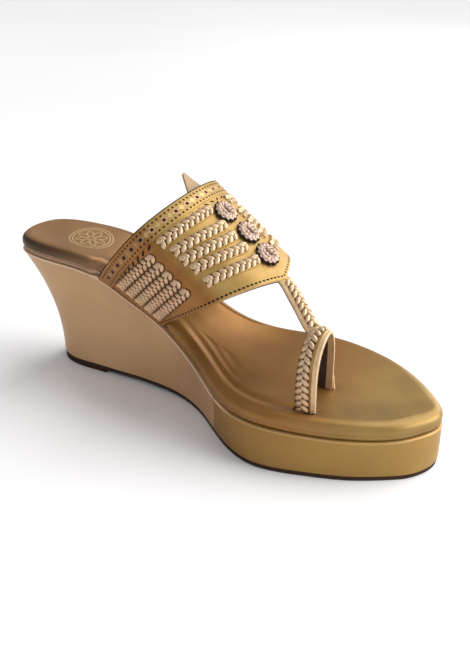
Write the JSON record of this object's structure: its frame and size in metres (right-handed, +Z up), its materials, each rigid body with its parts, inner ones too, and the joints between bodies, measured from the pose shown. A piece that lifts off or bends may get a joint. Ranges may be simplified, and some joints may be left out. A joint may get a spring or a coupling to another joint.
{
  "type": "wedge kolhapuri sandal",
  "caption": "Open wedge sandal for the left foot, with a padded footbed on a wrapped wedge and platform, a broad instep band with raised braids, a centre strap and a toe loop.",
  "frame": {"origin": "bottom centre of the sandal's bounding box, on the floor it stands on", "axes": "+X from the heel to the toe, +Y to the lateral (little toe) side, +Z up"},
  "size_m": [0.2411, 0.089, 0.1193],
  "materials": {
    "gold_leather": "antique gold metallic, satin",
    "braid_leather": "rose-beige metallic, satin",
    "footbed_leather": "bronze metallic, satin, padded",
    "wedge_leather": "rose-beige metallic, satin",
    "rubber": "dark brown, matt"
  },
  "bodies": {
    "root": {"upper": "gold_leather", "rosette_rear": "braid_leather", "rosette_mid": "braid_leather", "rosette_front": "braid_leather", "ear_tab": "gold_leather", "footbed": "footbed_leather", "insole_board": "footbed_leather", "wedge": "wedge_leather", "platform": "gold_leather", "outsole": "rubber", "heel_lift": "rubber"}
  },
  "joints": []
}
